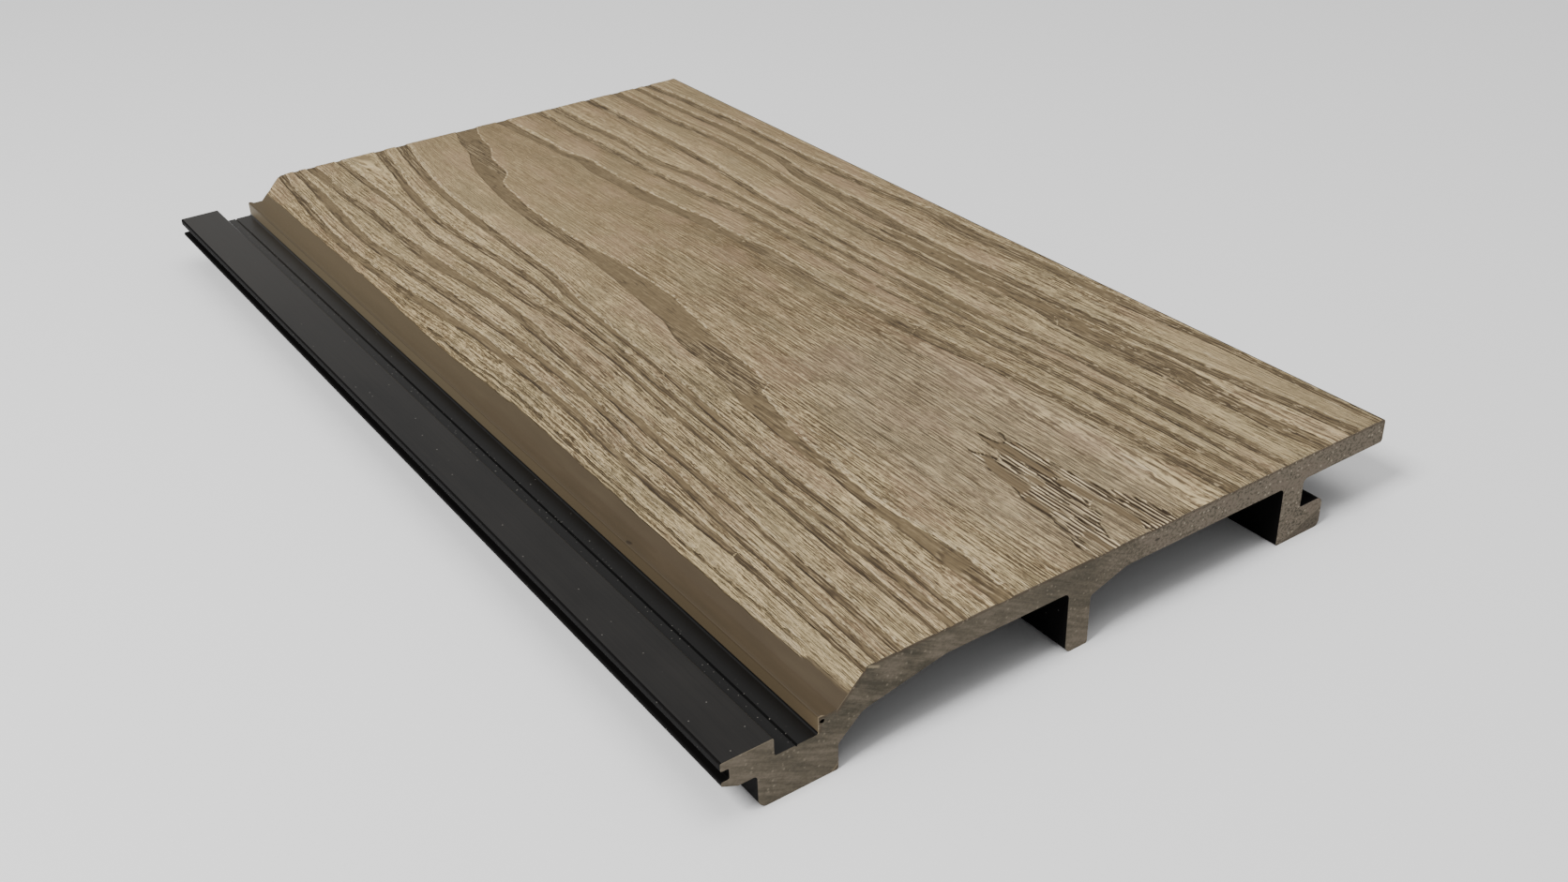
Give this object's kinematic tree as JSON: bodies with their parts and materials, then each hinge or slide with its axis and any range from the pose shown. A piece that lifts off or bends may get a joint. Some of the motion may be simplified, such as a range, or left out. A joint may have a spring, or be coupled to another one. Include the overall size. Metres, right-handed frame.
{
  "type": "wall cladding panel",
  "caption": "Short length of wood composite cladding board: grained face over a foot, rib and hook, with a bevel, a fixing channel and a grooved lip that locks under the next board.",
  "frame": {"origin": "middle of the board's width and length, in the plane of the wall that its ribs stand on", "axes": "+X across the board from the locking lip to the overhanging edge, +Y along its length, +Z out of the weather face"},
  "size_m": [0.176, 0.3, 0.021],
  "materials": {
    "wood_composite": "embossed tan face, smooth brown bevel, dark skin on the back and lip"
  },
  "bodies": {
    "root": {"cladding_panel": "wood_composite"}
  },
  "joints": []
}
